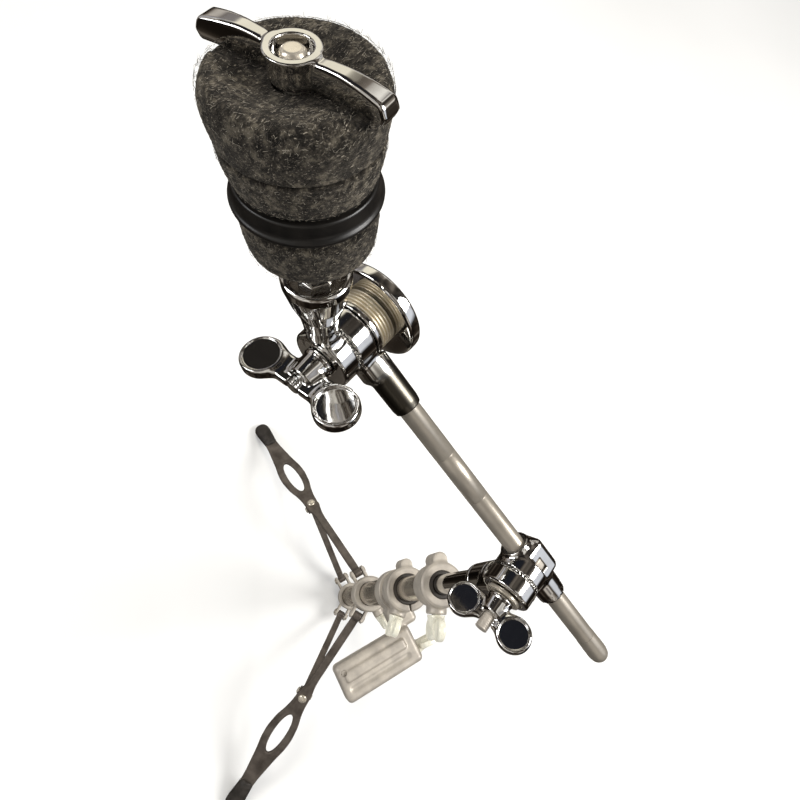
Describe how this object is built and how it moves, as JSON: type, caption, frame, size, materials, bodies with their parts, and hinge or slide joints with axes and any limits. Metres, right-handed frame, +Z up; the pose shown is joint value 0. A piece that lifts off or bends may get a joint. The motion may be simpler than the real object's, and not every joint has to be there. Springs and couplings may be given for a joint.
{
  "type": "cymbal boom stand",
  "caption": "Chrome tripod stand with telescoping tubes, a tilting boom and a ratchet tilter that holds a cymbal between felts under a wing nut.",
  "frame": {"origin": "on the floor under the centre of the stand's bounding box; the tube axis stands 25 mm towards -X and 45 mm towards -Y of it", "axes": "+Z up along the tubes, +X the way the boom points in plan, +Y towards the wing nuts of both tilters"},
  "size_m": [0.4878, 0.469, 0.7754],
  "materials": {
    "chrome": "polished",
    "satin_chrome": "slightly worn chrome",
    "boom_chrome": "chrome with two scribed rings",
    "leg_steel": "dull plated steel",
    "rivet_steel": "bright",
    "brass": "ribbed, warm toned",
    "felt": "charcoal wool felt with pale flecks",
    "black_plastic": "glossy",
    "rubber": "matte",
    "nylon": "matte"
  },
  "bodies": {
    "base": {"base_tube": "chrome", "base_plug": "rubber", "leg_bracket": "satin_chrome", "bracket_pin_1": "rivet_steel", "bracket_pin_2": "rivet_steel", "bracket_pin_3": "rivet_steel", "base_clamp": "satin_chrome", "base_bushing": "nylon", "accessory_clamp": "satin_chrome"},
    "collar": {"leg_collar": "satin_chrome"},
    "middle_stage": {"middle_tube": "chrome", "middle_clamp": "satin_chrome", "middle_bushing": "nylon"},
    "upper_glide": {"upper_tube_glide": "nylon"},
    "upper_stage": {"upper_tube": "chrome", "boom_tilter_socket": "chrome"},
    "tilter": {"boom_clamp": "chrome", "boom_eye_bolt": "satin_chrome", "boom_tilter_washer": "rivet_steel"},
    "liner": {"boom_liner": "nylon"},
    "boom": {"boom_rod": "boom_chrome", "boom_end_cap": "boom_chrome", "cymbal_tilter_base": "chrome", "cymbal_tilter_bolt": "chrome", "thrust_washer": "chrome", "friction_ring": "brass", "end_disc": "chrome"},
    "head": {"cymbal_tilter_head": "chrome", "cymbal_rod": "rivet_steel", "seat_washer": "chrome", "seat_nut": "chrome", "lower_felt": "felt", "seat_sleeve": "black_plastic", "upper_felt_1": "felt", "upper_felt_2": "felt"},
    "collar_bolt": {"collar_wing_bolt": "satin_chrome"},
    "base_bolt": {"base_wing_bolt": "satin_chrome"},
    "middle_bolt": {"middle_wing_bolt": "satin_chrome"},
    "accessory_screw": {"accessory_wing_screw": "satin_chrome"},
    "boom_nut": {"boom_wing_nut": "chrome"},
    "tilter_nut": {"cymbal_tilter_wing_nut": "chrome"},
    "top_nut": {"cymbal_wing_nut": "chrome"},
    "brace_1": {"brace_1": "leg_steel", "knee_pin_1": "rivet_steel"},
    "leg_1": {"leg_1": "leg_steel", "neck_rivet_1": "rivet_steel", "foot_1": "rubber", "collar_pin_1": "rivet_steel"},
    "brace_2": {"brace_2": "leg_steel", "knee_pin_2": "rivet_steel"},
    "leg_2": {"leg_2": "leg_steel", "neck_rivet_2": "rivet_steel", "foot_2": "rubber", "collar_pin_2": "rivet_steel"},
    "brace_3": {"brace_3": "leg_steel", "knee_pin_3": "rivet_steel"},
    "leg_3": {"leg_3": "leg_steel", "neck_rivet_3": "rivet_steel", "foot_3": "rubber", "collar_pin_3": "rivet_steel"}
  },
  "joints": [
    {"name": "leg_fold", "type": "hinge", "parent": "base", "child": "brace_1", "pos_m": [0.00062, -0.05397, 0.025], "axis": [-0.3322, -0.9432, 0], "range_deg": [0, 46]},
    {"name": "leg_1_swing", "type": "hinge", "parent": "brace_1", "child": "leg_1", "pos_m": [0.09433, -0.08697, 0.1025], "axis": [0.3322, 0.9432, 0], "range_deg": [0, 92]},
    {"name": "brace_2_swing", "type": "hinge", "parent": "base", "child": "brace_2", "pos_m": [-0.02981, -0.01847, 0.025], "axis": [0.9829, 0.184, 0], "range_deg": [0, 46]},
    {"name": "leg_2_swing", "type": "hinge", "parent": "brace_2", "child": "leg_2", "pos_m": [-0.04809, 0.07919, 0.1025], "axis": [-0.9829, -0.184, 0], "range_deg": [0, 92]},
    {"name": "brace_3_swing", "type": "hinge", "parent": "base", "child": "brace_3", "pos_m": [-0.04535, -0.06258, 0.025], "axis": [-0.6508, 0.7593, 0], "range_deg": [0, 46]},
    {"name": "leg_3_swing", "type": "hinge", "parent": "brace_3", "child": "leg_3", "pos_m": [-0.12078, -0.12723, 0.1025], "axis": [0.6508, -0.7593, 0], "range_deg": [0, 92]},
    {"name": "collar_slide", "type": "slide", "parent": "base", "child": "collar", "axis": [0, 0, 1], "range_m": [0, 0.0957]},
    {"name": "collar_bolt_turn", "type": "hinge", "parent": "collar", "child": "collar_bolt", "pos_m": [-0.05314, -0.03504, 0.18], "axis": [-0.9432, 0.3322, 0], "continuous": true},
    {"name": "base_bolt_turn", "type": "hinge", "parent": "base", "child": "base_bolt", "pos_m": [-0.03608, -0.01719, 0.364], "axis": [-0.3746, 0.9272, 0], "continuous": true},
    {"name": "middle_bolt_turn", "type": "hinge", "parent": "middle_stage", "child": "middle_bolt", "pos_m": [-0.04248, -0.02073, 0.465], "axis": [-0.5878, 0.809, 0], "continuous": true},
    {"name": "accessory_screw_turn", "type": "hinge", "parent": "base", "child": "accessory_screw", "pos_m": [-0.0713, -0.02652, 0.329], "axis": [-0.3697, -0.9291, 0], "continuous": true},
    {"name": "middle_tube_slide", "type": "slide", "parent": "base", "child": "middle_stage", "axis": [0, 0, 1], "range_m": [-0.07, 0.15]},
    {"name": "upper_tube_slide", "type": "slide", "parent": "middle_stage", "child": "upper_glide", "axis": [0, 0, 1], "range_m": [-0.07, 0.14]},
    {"name": "upper_tube_swivel", "type": "hinge", "parent": "upper_glide", "child": "upper_stage", "pos_m": [-0.02485, -0.04501, 0.5], "axis": [0, 0, 1], "continuous": true},
    {"name": "boom_tilt", "type": "hinge", "parent": "upper_stage", "child": "tilter", "pos_m": [-0.02485, -0.04501, 0.6], "axis": [0, -1, 0], "range_deg": [-56, 22]},
    {"name": "boom_roll", "type": "hinge", "parent": "tilter", "child": "liner", "pos_m": [-0.02485, -0.05341, 0.6], "axis": [0.8965, 0, 0.4431], "continuous": true},
    {"name": "boom_slide", "type": "slide", "parent": "liner", "child": "boom", "axis": [0.8965, 0, 0.4431], "range_m": [-0.075, 0.027]},
    {"name": "cymbal_tilt", "type": "hinge", "parent": "boom", "child": "head", "pos_m": [0.09797, -0.04501, 0.6607], "axis": [0, 1, 0], "range_deg": [-80, 43]},
    {"name": "boom_nut_turn", "type": "hinge", "parent": "tilter", "child": "boom_nut", "pos_m": [-0.02485, -0.02501, 0.6], "axis": [0, 1, 0], "continuous": true},
    {"name": "tilter_nut_turn", "type": "hinge", "parent": "boom", "child": "tilter_nut", "pos_m": [0.09797, -0.03001, 0.6607], "axis": [0, 1, 0], "continuous": true},
    {"name": "top_nut_turn", "type": "hinge", "parent": "head", "child": "top_nut", "pos_m": [0.12227, -0.04041, 0.7721], "axis": [0.1977, 0, 0.9803], "continuous": true}
  ],
  "couplings": [
    {"joint": "leg_1_swing", "follows": "leg_fold", "ratio": 2},
    {"joint": "brace_2_swing", "follows": "leg_fold", "ratio": 1},
    {"joint": "leg_2_swing", "follows": "leg_fold", "ratio": 2},
    {"joint": "brace_3_swing", "follows": "leg_fold", "ratio": 1},
    {"joint": "leg_3_swing", "follows": "leg_fold", "ratio": 2},
    {"joint": "collar_slide", "follows": "leg_fold", "m_per_rad": 0.11908}
  ]
}
